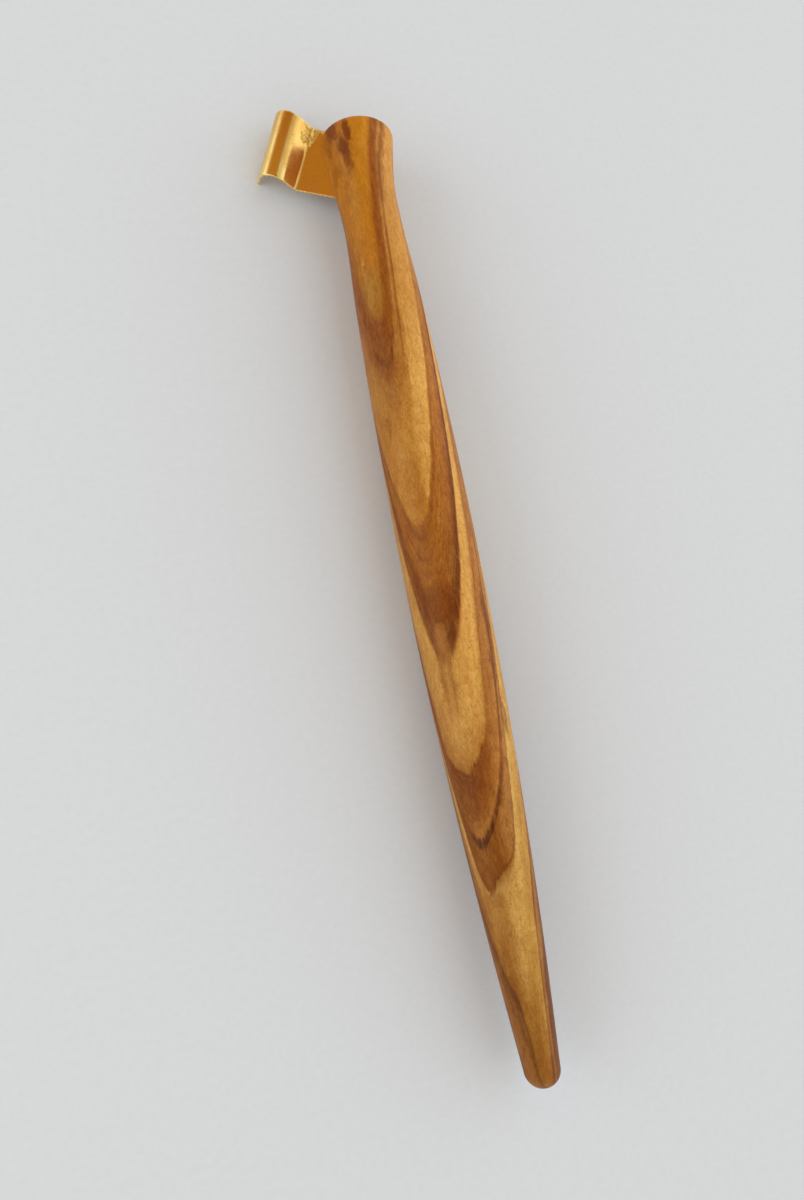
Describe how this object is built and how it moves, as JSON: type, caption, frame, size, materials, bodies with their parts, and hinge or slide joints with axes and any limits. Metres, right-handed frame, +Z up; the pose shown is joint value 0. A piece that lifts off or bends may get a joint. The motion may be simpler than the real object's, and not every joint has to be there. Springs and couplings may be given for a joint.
{
  "type": "oblique pen holder",
  "caption": "Turned olive wood pen staff with a flared, slotted head and a brass flange set at a slant, whose arched channel grips a pointed dip nib.",
  "frame": {"origin": "centre of the bounding box at its base, on the plane the holder lies on", "axes": "+Y along the staff from tail to head, +Z up with the holder lying as it rests on a desk, +X to the right seen from above with the head away"},
  "size_m": [0.0244, 0.1686, 0.0131],
  "materials": {
    "olive_wood": "oiled and polished olive wood, golden with brown figure, satin",
    "polished_brass": "polished, lightly handled",
    "spring_brass": "rolled sheet, less polished than the flange",
    "solder": "lumpy solder with a few small pits"
  },
  "bodies": {
    "root": {"staff": "olive_wood", "flange": "polished_brass", "nib_tongue": "spring_brass", "solder_bead": "solder"}
  },
  "joints": []
}
